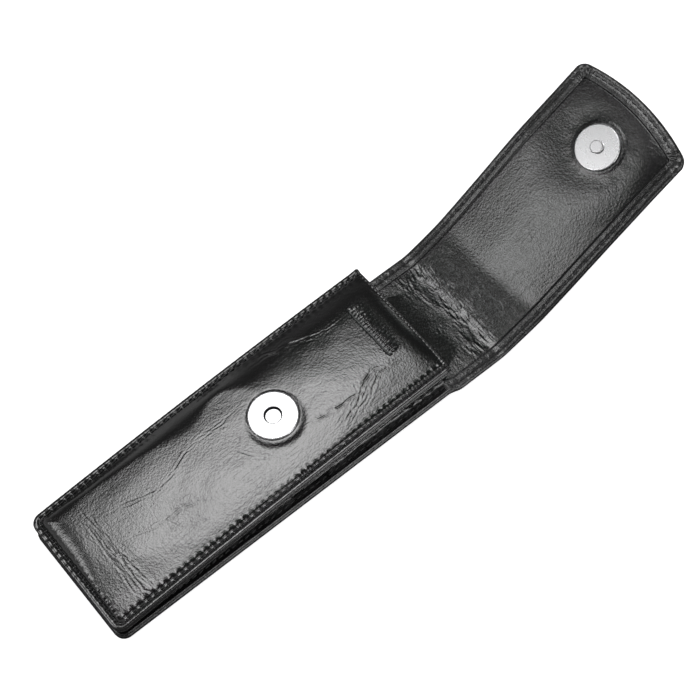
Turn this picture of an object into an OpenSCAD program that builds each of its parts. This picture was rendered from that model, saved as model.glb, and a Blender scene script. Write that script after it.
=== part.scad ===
// Leather fountain pen case with a magnetic snap flap, lying on its back with the flap raised.
// Origin: centre of the back panel's resting face. +X across, +Y towards the mouth, +Z up through the front.

/* [Body] */
// Width of the body across its stitched edges
body_w = 52; // [46:0.5:60]
// Length of the body from its bottom edge to the mouth
body_l = 144.6; // [136:0.2:156]
// Height of the front's face at the bottom edge
bottom_h = 10.4; // [10:0.1:13]
// Height of the front's face at the mouth
mouth_h = 20.7; // [18:0.1:24]
// How far the front bows out at mid length
front_crown = 1.6; // [0:0.1:2.5]
// Radius of the two bottom corners
corner_r = 4; // [2:0.5:6]

/* [Leather] */
// Thickness of the outer leather
outer_t = 1.3; // [1:0.1:1.6]
// Thickness of the board inside the front and back
board_t = 0.9; // [0.8:0.1:1.2]
// Thickness of the lining leather
lining_t = 0.8; // [0.6:0.1:1]
// Thickness of the gusset leather
gusset_t = 1; // [0.8:0.1:1.2]
// How far the gusset's wall is set in behind the edges
gusset_inset = 4.2; // [3.5:0.1:5]
// How far the boards stop short of the edges
board_inset = 3.4; // [3:0.1:4]

/* [Flap] */
// Width of the spine and flap
flap_w = 54.4; // [50:0.2:60]
// Length of the flap from its bend to the middle of the tip
flap_l = 95.8; // [90:0.2:105]
// How far the middle of the tip stands beyond its corners
tip_sag = 4.6; // [2:0.2:8]
// Radius of the tip's corners
flap_corner_r = 3.5; // [2:0.5:5]
// Width of the turned hem
hem_w = 5; // [4:0.5:6]
// Thickness of the flap
flap_t = 2.7; // [2.5:0.1:3.2]
// Angle at which the flap stands at rest
flap_rise = 31; // [20:1:40]

/* [Fold] */
// Distance from the origin to the fold between the body and the spine
spine_fold_y = 81.9; // [80:0.1:84]
// Distance from the origin to the bend that the flap rises from at rest
bend_y = 99; // [97:0.5:101]
// Distance from the bend to the fold between the spine and the flap
flap_fold_s = 7.4; // [6:0.1:9]
// Half the gap between the solids on the two sides of a fold
fold_gap = 0.15; // [0.15:0.05:0.3]
// How far below its resting angle the flap opens
flap_open = 32; // [31:1:34]

/* [Snap] */
// Distance from the origin to the socket's axis
socket_y = 14; // [10:0.5:18]
// Diameter of the socket
socket_d = 18; // [16:0.5:18]
// Height of the socket above the leather
socket_h = 2; // [1.8:0.1:2.4]
// Diameter of the hole in the socket
socket_hole_d = 6.4; // [6:0.1:7]
// Distance from the bend to the stud's axis
stud_s = 73.8; // [70:0.1:76]
// Diameter of the stud's plate
plate_d = 17; // [15:0.5:18]
// Thickness of the stud's plate
plate_t = 1.2; // [1:0.1:1.4]
// Diameter of the stud
stud_d = 4.9; // [4.5:0.1:5.2]
// Height of the stud above its plate
stud_h = 1.1; // [0.8:0.1:1.2]

/* [Stitching] */
// Distance from one stitch to the next
stitch_pitch = 2.8; // [2.5:0.1:3.5]
// Length of a stitch
stitch_len = 1.9; // [1.5:0.1:2.2]
// Diameter of the thread
thread_d = 0.5; // [0.4:0.05:0.6]
// Distance from the body's edge to its seam
seam_inset = 2.2; // [1.8:0.1:2.6]

/* [Divider] */
// Width of the divider that hangs inside the front
divider_w = 23; // [16:1:30]
// Length of the divider
divider_l = 100; // [60:5:110]
// Sideways place of the divider's centre
divider_x = -2.7; // [-5:0.1:5]
// Distance from the origin to the seam that holds the divider
divider_seam_y = 60.8; // [56:0.2:62]

/* [Hidden] */

stack_t = outer_t + board_t + lining_t; // front and back walls alike
spine_t = outer_t + lining_t;           // no board in the spine
flap_board_t = (flap_t - outer_t) / 2;  // board and lining share the depth inside the hem
mouth_y = body_l / 2;
bottom_y = -body_l / 2;
slope_steps = 18; // flats along the bowed front
arc_steps = 8;
board_end = 2;    // the boards stop this far short of the mouth
seat = 0.03;      // lifts a disc or stitch clear of the bowed leather
slot_play = 0.1;
leg_w = 4.6;      // a snap's two legs
leg_t = 0.5;
leg_x = 4.5;
washer_d = 15;
sheet_t = 0.4;    // pressed steel of the snap
thread_lift = thread_d / 2 + seat;

black = [0.06, 0.06, 0.065];
inside_black = [0.1, 0.1, 0.105];
board_grey = [0.45, 0.43, 0.4];
thread_black = [0.03, 0.03, 0.03];
nickel = [0.78, 0.78, 0.8];
magnet_grey = [0.3, 0.3, 0.32];

// Height of the front's face at y
function front_z(y) =
    let (u = (y - bottom_y) / body_l)
    bottom_h + (mouth_h - bottom_h) * u + 4 * front_crown * u * (1 - u);

// Slope of the front's face at y, in degrees
function front_slope(y) = atan((front_z(y + 0.5) - front_z(y - 0.5)));

// Centre of the row of stitches number i of n along a length
function along(i, n, length) = (i + 0.5) * length / n;

// Edge of the front's face, or of a layer the given depth below it
function front_line(depth) = [
    for (i = [-1:slope_steps + 1])
        let (y = bottom_y + body_l * i / slope_steps) [y, front_z(y) - depth]
];

function reversed(points) = [for (i = [len(points) - 1:-1:0]) points[i]];

// Extrudes a side view, drawn as [y, z], across the width
module across(width) {
    rotate([90, 0, 90]) linear_extrude(width, center = true) children();
}

// Body's outline, set in from its edges, with the two bottom corners rounded
module outline(inset, mouth_inset = 0) {
    r = max(corner_r - inset, 1);
    w = body_w - 2 * inset;
    y = bottom_y + inset;
    translate([-w / 2, y + r]) square([w, mouth_y - mouth_inset - y - r]);
    translate([-w / 2 + r, y]) square([w - 2 * r, 2 * r]);
    for (side = [-1, 1])
        translate([side * (w / 2 - r), y + r]) circle(r, $fn = 32);
}

// A layer of the front between two depths below its face
module front_layer(top, bottom, inset, mouth_inset = 0) {
    intersection() {
        across(body_w) polygon(concat(front_line(top), reversed(front_line(bottom))));
        linear_extrude(mouth_h + 5) outline(inset, mouth_inset);
    }
}

// Frame with its origin on the front's face at y, level with the face
module on_front(y) {
    translate([0, y, front_z(y)]) rotate([front_slope(y), 0, 0]) children();
}

// Frame with its origin at the flap's bend: y runs along the flap, z out of its inner face
module on_flap() {
    translate([0, bend_y, spine_t]) rotate([flap_rise, 0, 0]) children();
}

// Flap's outline, set in from its edges: straight sides, rounded corners and a bowed tip
tip_r = (pow(flap_w / 2, 2) + pow(tip_sag, 2)) / (2 * tip_sag);
tip_c = flap_l - tip_r;
function corner_c(inset) =
    let (r = max(flap_corner_r - inset, 0.8), x = flap_w / 2 - inset - r)
    [x, tip_c + sqrt(pow(tip_r - inset - r, 2) - x * x), r];
function tip_half_angle(inset) =
    let (c = corner_c(inset)) atan2(c[0], c[1] - tip_c);
function corner_arc(inset) =
    let (c = corner_c(inset), turn = 90 - tip_half_angle(inset))
    [for (i = [0:arc_steps]) let (a = turn * i / arc_steps)
        [c[0] + c[2] * cos(a), c[1] + c[2] * sin(a)]];
function tip_arc(inset) =
    let (b = tip_half_angle(inset), r = tip_r - inset)
    [for (i = [1:2 * arc_steps - 1]) let (a = b - b * i / arc_steps)
        [r * sin(a), tip_c + r * cos(a)]];
function mirrored(points) = [for (p = reversed(points)) [-p[0], p[1]]];

module flap_outline(inset) {
    x = flap_w / 2 - inset;
    corner = corner_arc(inset);
    polygon(concat([[x, flap_fold_s]], corner, tip_arc(inset), mirrored(corner), [[-x, flap_fold_s]]));
}

// A layer of the flap between two depths below its inner face, bevelled at the fold so that it opens flat
module flap_layer(top, bottom, inset) {
    difference() {
        translate([0, 0, -bottom]) linear_extrude(bottom - top) flap_outline(inset);
        translate([0, flap_fold_s, 0]) rotate([flap_open + 1, 0, 0])
            translate([-flap_w, fold_gap - 20, -20]) cube([2 * flap_w, 20, 40]);
    }
}

// Side view of the spine at a depth below its inner face: flat, a round bend, then up to the flap's fold
bend_r = 10;
bend_reach = bend_r * tan(flap_rise / 2);
function spine_line(depth) = concat(
    [[spine_fold_y + fold_gap, spine_t - depth]],
    [for (i = [0:arc_steps])
        let (a = flap_rise * i / arc_steps, r = bend_r + depth)
        [bend_y - bend_reach + r * sin(a), spine_t + bend_r - r * cos(a)]],
    [[bend_y + (flap_fold_s - fold_gap) * cos(flap_rise) + depth * sin(flap_rise),
      spine_t + (flap_fold_s - fold_gap) * sin(flap_rise) - depth * cos(flap_rise)]]
);

module spine_layer(top, bottom, width) {
    across(width) polygon(concat(spine_line(top), reversed(spine_line(bottom))));
}

// One stitch along y, and one along x
module stitch_y() {
    rotate([90, 0, 0]) cylinder(stitch_len, d = thread_d, center = true, $fn = 16);
}

module stitch_x() {
    rotate([0, 90, 0]) cylinder(stitch_len, d = thread_d, center = true, $fn = 16);
}

// Two bent legs that hold a snap, going down from the leather's face through it and folded outwards
module legs(depth) {
    for (side = [-1, 1]) {
        translate([side * leg_x - leg_t / 2, -leg_w / 2, -depth]) cube([leg_t, leg_w, depth]);
        translate([side * (leg_x + leg_t) - leg_t * 1.5, -leg_w / 2, -depth])
            cube([leg_t * 3, leg_w, 0.35]);
    }
}

module leg_slots(depth) {
    for (side = [-1, 1])
        translate([side * leg_x - leg_t / 2 - slot_play, -leg_w / 2 - slot_play, -depth])
            cube([leg_t + 2 * slot_play, leg_w + 2 * slot_play, depth + 1]);
}

module washer(thickness) {
    difference() {
        cylinder(thickness, d = washer_d, $fn = 64);
        leg_slots(1);
        translate([0, 0, 1]) leg_slots(1);
        translate([0, 0, -1]) cylinder(3, d = 4, $fn = 32);
    }
}

// ---- Case body ----

module back_panel() {
    color(black) difference() {
        union() {
            linear_extrude(outer_t) union() {
                outline(0);
                polygon([
                    [-body_w / 2, mouth_y - 1], [body_w / 2, mouth_y - 1], [flap_w / 2, mouth_y + 3],
                    [flap_w / 2, spine_fold_y - fold_gap], [-flap_w / 2, spine_fold_y - fold_gap],
                    [-flap_w / 2, mouth_y + 3]
                ]);
            }
            // Turned edge round the board
            linear_extrude(outer_t + board_t) outline(0, board_end - 1);
        }
        translate([0, 0, outer_t]) linear_extrude(board_t + 1) union() {
            outline(board_inset);
        }
    }
}

module back_stiffener() {
    color(board_grey) translate([0, 0, outer_t]) linear_extrude(board_t) outline(board_inset, board_end);
}

// Covers the board, steps down at the mouth and runs on to the fold
module back_lining() {
    top = stack_t;
    low = outer_t + board_t;
    step = board_t * 3;
    color(inside_black) intersection() {
        across(flap_w) polygon([
            [bottom_y, low], [mouth_y - board_end + 1, low], [mouth_y + step - 1, outer_t],
            [spine_fold_y - fold_gap, outer_t], [spine_fold_y - fold_gap, spine_t],
            [mouth_y + step, spine_t], [mouth_y, top], [bottom_y, top]
        ]);
        linear_extrude(stack_t + 1) union() {
            outline(0.3);
            translate([-flap_w / 2 + 1.5, mouth_y - 1]) square([flap_w - 3, spine_fold_y - mouth_y + 1]);
            translate([-body_w / 2 + 0.3, mouth_y - 5]) square([body_w - 0.6, 5]);
        }
    }
}

// U-shaped strip folded to a C section: two flanges sewn to the front and back, and a wall set in behind them
module gusset() {
    color(black) difference() {
        intersection() {
            across(body_w) polygon(concat(
                front_line(stack_t), [[mouth_y + 20, stack_t], [bottom_y - 20, stack_t]]));
            linear_extrude(mouth_h + 5) outline(0.2, 0.4);
        }
        // Pocket inside the wall, and inside the flanges' inner edges
        linear_extrude(mouth_h + 5) union() {
            outline(gusset_inset + gusset_t);
            translate([-body_w / 2 + gusset_inset + gusset_t, 0])
                square([body_w - 2 * (gusset_inset + gusset_t), body_l]);
        }
        // Channel outside the wall, between the flanges
        intersection() {
            across(body_w + 2) polygon(concat(
                front_line(stack_t + gusset_t),
                [[mouth_y + 20, stack_t + gusset_t], [bottom_y - 20, stack_t + gusset_t]]));
            difference() {
                translate([0, 0, -1]) linear_extrude(mouth_h + 7) translate([-body_w, bottom_y - 10])
                    square([2 * body_w, body_l + 20]);
                translate([0, 0, -2]) linear_extrude(mouth_h + 9) union() {
                    outline(gusset_inset);
                    translate([-body_w / 2 + gusset_inset, 0])
                        square([body_w - 2 * gusset_inset, body_l]);
                }
            }
        }
    }
}

// Outer leather of the front, turned in round the board
module front_panel() {
    color(black) difference() {
        union() {
            front_layer(0, outer_t, 0);
            front_layer(outer_t, outer_t + board_t, 0);
        }
        front_layer(outer_t, outer_t + board_t + 0.5, board_inset, board_end);
        on_front(socket_y) leg_slots(outer_t + 1);
    }
}

// Board inside the front, opened for the socket's legs and washer
module front_stiffener() {
    color(board_grey) difference() {
        front_layer(outer_t, outer_t + board_t, board_inset, board_end);
        on_front(socket_y) translate([0, 0, -outer_t - board_t - 1])
            cylinder(board_t + 3, d = washer_d + 1, $fn = 64);
    }
}

module front_lining() {
    color(inside_black) front_layer(outer_t + board_t, stack_t, 0.3, 0.3);
}

// Soft tongue that keeps two pens apart, sewn to the front by its upper end
module pen_divider() {
    gap = 0.3;
    color(inside_black) intersection() {
        across(body_w) polygon(concat(
            front_line(stack_t + gap), reversed(front_line(stack_t + gap + lining_t))));
        translate([divider_x, divider_seam_y + 2 - divider_l, 0]) linear_extrude(mouth_h) union() {
            translate([-divider_w / 2, 6]) square([divider_w, divider_l - 6]);
            translate([-divider_w / 2 + 6, 0]) square([divider_w - 12, 12]);
            for (side = [-1, 1])
                translate([side * (divider_w / 2 - 6), 6]) circle(6, $fn = 48);
        }
    }
}

module front_stitching() {
    seam_l = body_l - seam_inset - corner_r;
    seam_w = body_w - 2 * corner_r;
    n = round(seam_l / stitch_pitch);
    m = round(seam_w / stitch_pitch);
    color(thread_black) {
        for (side = [-1, 1], i = [0:n - 1])
            on_front(mouth_y - along(i, n, seam_l) - 0.6)
                translate([side * (body_w / 2 - seam_inset), 0, thread_lift]) stitch_y();
        for (i = [0:m - 1])
            on_front(bottom_y + seam_inset)
                translate([along(i, m, seam_w) - seam_w / 2, 0, thread_lift]) stitch_x();
    }
}

// Row on the gusset's lower flange
module back_stitching() {
    seam_l = body_l - seam_inset - corner_r;
    seam_w = body_w - 2 * corner_r;
    n = round(seam_l / stitch_pitch);
    m = round(seam_w / stitch_pitch);
    z = stack_t + gusset_t + thread_lift;
    color(thread_black) {
        for (side = [-1, 1], i = [0:n - 1])
            translate([side * (body_w / 2 - seam_inset), mouth_y - along(i, n, seam_l) - 0.6, z]) stitch_y();
        for (i = [0:m - 1])
            translate([along(i, m, seam_w) - seam_w / 2, bottom_y + seam_inset, z]) stitch_x();
    }
}

// Bar seam across the front that holds the divider
module divider_stitching() {
    n = round(divider_w / stitch_pitch);
    color(thread_black)
        for (i = [0:n - 1])
            on_front(divider_seam_y)
                translate([divider_x + along(i, n, divider_w) - divider_w / 2, 0, thread_lift]) stitch_x();
}

// ---- Snap socket, on the front ----

// Pressed cover: a disc with a rounded rim and a round hole
module socket_cover() {
    r = socket_d / 2;
    hole = socket_hole_d / 2;
    edge = 0.5;
    color(nickel) on_front(socket_y) translate([0, 0, seat]) rotate_extrude($fn = 96)
        difference() {
            union() {
                translate([hole, 0]) square([r - hole - edge, socket_h]);
                translate([hole, 0]) square([r - hole, socket_h - edge]);
                translate([r - edge, socket_h - edge]) circle(edge, $fn = 32);
            }
            translate([hole - 1, -1]) square([r - sheet_t - hole + 1, socket_h - sheet_t + 1]);
        }
}

module socket_magnet() {
    color(magnet_grey) on_front(socket_y) translate([0, 0, seat + sheet_t]) difference() {
        cylinder(socket_h - 2 * sheet_t - 0.02, d = socket_d - 2 * sheet_t - 0.1, $fn = 64);
        translate([0, 0, -1]) cylinder(socket_h + 2, d = socket_hole_d, $fn = 48);
    }
}

module socket_base() {
    color(nickel) on_front(socket_y) translate([0, 0, seat]) {
        difference() {
            cylinder(sheet_t, d = socket_d - 2 * sheet_t - 0.1, $fn = 64);
            translate([0, 0, -1]) cylinder(3, d = 2, $fn = 24);
        }
        legs(outer_t + 0.78);
    }
}

// Soft-iron centre, riveted into the base
module socket_post() {
    color(nickel) on_front(socket_y) translate([0, 0, seat]) {
        translate([0, 0, sheet_t]) cylinder(0.48, d = 5.3, $fn = 48);
        cylinder(sheet_t, d = 2, $fn = 24);
    }
}

module socket_washer() {
    color(nickel) on_front(socket_y) translate([0, 0, -outer_t - 0.38]) washer(0.3);
}

// ---- Spine ----

module spine_leather() {
    color(black) spine_layer(lining_t, spine_t, flap_w);
}

module spine_lining() {
    color(inside_black) spine_layer(0, lining_t, flap_w - 3);
}

module spine_stitching() {
    span = bend_y - bend_reach - spine_fold_y - fold_gap;
    n = round(span / stitch_pitch);
    color(thread_black)
        for (side = [-1, 1], i = [0:n - 1])
            translate([side * (flap_w / 2 - hem_w / 2), spine_fold_y + fold_gap + along(i, n, span),
                spine_t + thread_lift]) stitch_y();
}

// ---- Flap ----

// Outer leather with its edges turned in as a hem
module flap_leather() {
    color(black) on_flap() difference() {
        flap_layer(0, flap_t, 0);
        translate([0, 0, -flap_t + outer_t]) linear_extrude(flap_t) difference() {
            flap_outline(hem_w);
            translate([-flap_w, flap_fold_s - 1]) square([2 * flap_w, 3]);
        }
    }
}

module flap_stiffener() {
    color(board_grey) on_flap() difference() {
        flap_inner(flap_board_t, 2 * flap_board_t);
        translate([0, stud_s, -flap_t]) cylinder(flap_t, d = washer_d + 1, $fn = 64);
    }
}

module flap_lining() {
    color(inside_black) on_flap() difference() {
        flap_inner(0, flap_board_t);
        translate([0, stud_s, 0]) leg_slots(flap_t);
    }
}

// Layer that lies inside the hem
module flap_inner(top, bottom) {
    intersection() {
        flap_layer(top, bottom, hem_w);
        translate([-flap_w / 2, flap_fold_s + 2, -flap_t]) cube([flap_w, flap_l, 2 * flap_t]);
    }
}

module flap_stitching() {
    inset = hem_w / 2;
    c = corner_c(inset);
    start = flap_fold_s + 1;
    side_l = c[1] - start;
    n = round(side_l / stitch_pitch);
    r = tip_r - inset;
    b = tip_half_angle(inset);
    m = round(2 * b * PI / 180 * r / stitch_pitch);
    color(thread_black) on_flap() {
        for (side = [-1, 1], i = [0:n - 1])
            translate([side * (flap_w / 2 - inset), start + along(i, n, side_l), thread_lift]) stitch_y();
        for (i = [0:m - 1])
            translate([0, tip_c, thread_lift]) rotate(b - along(i, m, 2 * b))
                translate([0, r, 0]) stitch_x();
    }
}

// ---- Snap stud, on the flap's inner face ----

module on_stud() {
    on_flap() translate([0, stud_s, seat]) children();
}

// Pressed disc with a rounded rim
module stud_plate() {
    edge = 0.4;
    color(nickel) on_stud() rotate_extrude($fn = 96) difference() {
        union() {
            square([plate_d / 2 - edge, plate_t]);
            square([plate_d / 2, plate_t - edge]);
            translate([plate_d / 2 - edge, plate_t - edge]) circle(edge, $fn = 32);
        }
        square([1, plate_t + 1]);
        square([plate_d / 2 - sheet_t, sheet_t]);
    }
}

// Stud with a chamfered nose, riveted through the plate
module stud_post() {
    nose = 0.3;
    color(nickel) on_stud() {
        translate([0, 0, sheet_t]) cylinder(plate_t - sheet_t, r = 1, $fn = 24);
        translate([0, 0, plate_t]) cylinder(stud_h - nose, d = stud_d, $fn = 48);
        translate([0, 0, plate_t + stud_h - nose])
            cylinder(nose, d1 = stud_d, d2 = stud_d - 2 * nose, $fn = 48);
    }
}

// Strip with two legs, held under the plate
module stud_legs() {
    color(nickel) on_stud() {
        translate([-leg_x - leg_t / 2, -leg_w / 2, 0]) cube([2 * leg_x + leg_t, leg_w, sheet_t]);
        legs(2 * flap_board_t);
    }
}

module stud_washer() {
    color(nickel) on_flap() translate([0, stud_s, -flap_board_t - 0.3]) washer(0.3);
}

back_panel();
back_stiffener();
back_lining();
gusset();
front_panel();
front_stiffener();
front_lining();
pen_divider();
front_stitching();
back_stitching();
divider_stitching();
socket_cover();
socket_magnet();
socket_base();
socket_post();
socket_washer();
spine_leather();
spine_lining();
spine_stitching();
flap_leather();
flap_stiffener();
flap_lining();
flap_stitching();
stud_plate();
stud_post();
stud_legs();
stud_washer();
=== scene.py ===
"""Leather fountain pen case with a magnetic snap, lying on its back with the flap raised.

Shapes are worked out in millimetres in the frame of the CAD model, and become metres when a mesh is made.
Leather is described by x, across the case, and by p, the distance along the leather from the case's middle.
"""

import math

import bpy
import numpy as np
from mathutils import Matrix, Vector


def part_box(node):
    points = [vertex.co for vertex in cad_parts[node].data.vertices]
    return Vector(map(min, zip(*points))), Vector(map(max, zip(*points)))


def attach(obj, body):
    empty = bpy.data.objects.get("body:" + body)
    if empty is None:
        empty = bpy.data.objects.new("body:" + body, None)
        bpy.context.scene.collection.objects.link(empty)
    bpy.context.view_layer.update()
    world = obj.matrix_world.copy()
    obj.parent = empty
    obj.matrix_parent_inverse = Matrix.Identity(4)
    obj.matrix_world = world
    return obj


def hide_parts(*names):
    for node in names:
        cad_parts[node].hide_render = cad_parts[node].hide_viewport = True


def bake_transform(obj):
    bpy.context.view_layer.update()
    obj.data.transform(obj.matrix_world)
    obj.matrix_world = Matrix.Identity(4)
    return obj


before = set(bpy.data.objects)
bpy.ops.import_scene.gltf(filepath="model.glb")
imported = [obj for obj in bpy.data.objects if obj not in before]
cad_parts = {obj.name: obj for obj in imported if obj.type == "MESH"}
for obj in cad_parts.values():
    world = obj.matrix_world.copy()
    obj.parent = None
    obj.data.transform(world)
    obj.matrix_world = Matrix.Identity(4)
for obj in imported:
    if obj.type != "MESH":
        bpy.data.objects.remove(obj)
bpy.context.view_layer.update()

MM = 0.001


def box_mm(node):
    low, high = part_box(node)
    return np.array(low) / MM, np.array(high) / MM


# ---- Sizes, in mm ----

front_low, front_high = box_mm("front_panel")
body_w = front_high[0] - front_low[0]
body_l = front_high[1] - front_low[1]
half_w = body_w / 2
mouth = body_l / 2
bottom_h = 10.4  # height of the front's face at the bottom edge
mouth_h = 20.7
front_crown = 1.6
corner_r = 4.0
rim_t = 1.15  # the front's leather at its rim
turned_t = 2.2  # the same with the leather that is turned in under it
stack_t = 3.0  # a whole wall: leather, board and lining
lining_t = 0.6
spine_t = 2.1
flap_t = 2.7
gusset_t = 1.0
gusset_inset = 4.2
seam_inset = 2.2
stitch_pitch = 2.8
hem_w = 5.0
hem_gap = 0.15  # between the hem and the lining that is set into it
lining_sunk = 0.18  # the lining's face under the hem's

flap_low, flap_high = box_mm("flap_leather")
flap_w = flap_high[0] - flap_low[0]
flap_half = flap_w / 2
flap_rise = math.radians(31)
bend_p = 99.0
flap_l = 95.8
tip_sag = 4.6
tip_skew = 0.03  # the flap is a little longer on its left side
flap_corner_r = 3.5
board_p = 118.0  # where the flap's board begins
spine_middle = 93.0  # the leather is cut into two pieces here, between the two folds
tip_from_p = 150.0  # before this the leather has no edges but its sides
stud_p = bend_p + 73.8
socket_y = 14.0
socket_r = 9.0
hole_r = 3.2  # of the socket's cover
plate_r = 8.5
ridge_y = 60.8
ridge_x = (-14.5, 9.5)
ridge_valley = 1.65  # from the bar seam's ridge to the valley that its thread lies in
ridge_pitch = 2.4
thread_r = 0.25
thread_sunk = 0.1

tip_r = (flap_half**2 + tip_sag**2) / (2 * tip_sag)
tip_c = bend_p + flap_l - tip_r


# ---- Small tools ----


def smooth(t):
    """Eases from 0 to 1 while t goes from 0 to 1."""
    t = np.clip(t, 0, 1)
    return t * t * (3 - 2 * t)


def bell(t):
    return np.exp(-t * t)


def mix_corners(table, i0, i1, j0, j1, a, b):
    """Value between four entries of a table; a and b are the shares of the way to i1 and j1."""
    first = table[i0, j0] * (1 - a) + table[i1, j0] * a
    return first * (1 - b) + (table[i0, j1] * (1 - a) + table[i1, j1] * a) * b


def noise(x, y, cell_x, cell_y, seed):
    """Smooth noise from -1 to 1 whose cells are cell_x by cell_y."""
    size = 64
    table = np.random.default_rng(seed).uniform(-1, 1, (size, size))
    u, v = np.asarray(x) / cell_x + 1000.37, np.asarray(y) / cell_y + 1000.61
    i, j = np.floor(u).astype(int), np.floor(v).astype(int)
    a, b = smooth(u - i), smooth(v - j)
    return mix_corners(table, i % size, (i + 1) % size, j % size, (j + 1) % size, a, b)


def ridged(x, y, cell_x, cell_y, seed):
    """Noise with sharp crests, from -1 to 1."""
    return 1 - np.abs(noise(x, y, cell_x, cell_y, seed)) * 2


def crease(x, y, points, depth, width, seed, wander=0.6):
    """A fold line through the points: a fine valley with a soft swell on each side."""
    points = np.array(points, float)
    best = np.full(np.shape(x), 1e9)
    travel = np.zeros(np.shape(x))
    lengths = np.linalg.norm(np.diff(points, axis=0), axis=1)
    start = 0.0
    xw = x + noise(x, y, 4, 4, seed + 11) * wander
    yw = y + noise(x, y, 4, 4, seed + 12) * wander
    for a, b, length in zip(points[:-1], points[1:], lengths):
        d = (b - a) / length
        t = np.clip((xw - a[0]) * d[0] + (yw - a[1]) * d[1], 0, length)
        off = np.hypot(xw - a[0] - t * d[0], yw - a[1] - t * d[1])
        near = off < best
        best = np.where(near, off, best)
        travel = np.where(near, start + t, travel)
        start += length
    fade = np.sin(np.pi * np.clip(travel / start, 0, 1)) ** 0.6
    patchy = 0.55 + 0.45 * noise(travel, travel * 0, 5, 5, seed + 13)
    valley = -bell(best / width) + 0.45 * bell((best - 2.1 * width) / (1.2 * width))
    return depth * fade * patchy * valley


def stacked(*parts):
    """Points from arrays of their coordinates."""
    return np.stack(parts, axis=-1)


def corner_cut(r, to_end):
    """How far a round corner of radius r lies in from the side, at this distance from the end."""
    return r - np.sqrt(r**2 - np.maximum(r - to_end, 0) ** 2)


def grid(rows, columns, reach):
    """Grid of x and y whose rows run from -reach to reach; columns are shares of reach from -1 to 1."""
    return reach[:, None] * columns[None, :], np.repeat(rows[:, None], len(columns), axis=1)


def show(obj):
    bpy.context.scene.collection.objects.link(obj)


def finish_piece(obj, material, slot, body, *nodes):
    """Adds a piece to the scene. It rides the body, if one is named, and takes the place of the CAD nodes."""
    show(obj)
    obj.data.materials.append(material)
    if body:
        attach(obj, body)
    if nodes:
        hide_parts(*nodes)
    return obj


def make_mesh(name, verts, faces, uv=None):
    """Object with smooth faces from points in mm; uv gives each point's place (x, p) on the leather."""
    mesh = bpy.data.meshes.new(name)
    mesh.from_pydata((np.asarray(verts) * MM).tolist(), [], faces)
    mesh.polygons.foreach_set("use_smooth", np.ones(len(mesh.polygons), bool))
    if uv is not None:
        layer = mesh.uv_layers.new(name="leather")
        corner = np.zeros(len(mesh.loops), np.int32)
        mesh.loops.foreach_get("vertex_index", corner)
        layer.data.foreach_set("uv", (np.asarray(uv)[corner] * MM).astype(np.float32).ravel())
    mesh.update()
    return bpy.data.objects.new(name, mesh)


def tube_faces(rings, sides, first=0, closed=False):
    """Faces between rings of points that follow each other; a closed tube's last ring meets its first."""
    faces = []
    for i in range(rings if closed else rings - 1):
        a, b = first + i * sides, first + (i + 1) % rings * sides
        for k in range(sides):
            nxt = (k + 1) % sides
            faces.append([a + k, b + k, b + nxt, a + nxt])
    return faces


def directions(angle):
    """Directions across, along and out of a face that rises along y at an angle."""
    c, s = math.cos(angle), math.sin(angle)
    return np.array([1.0, 0, 0]), np.array([0, c, s]), np.array([0, -s, c])


def loop_order(m, n):
    """Row and column of each point round the edge of an m by n grid, anticlockwise from above."""
    rows = [0] * n + list(range(1, m)) + [m - 1] * (n - 1) + list(range(m - 2, 0, -1))
    cols = list(range(n)) + [n - 1] * (m - 1) + list(range(n - 2, -1, -1)) + [0] * (m - 2)
    return np.array(rows), np.array(cols)


SKIP = 4  # the underside of a plate has one point for this many on its upper side


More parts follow.
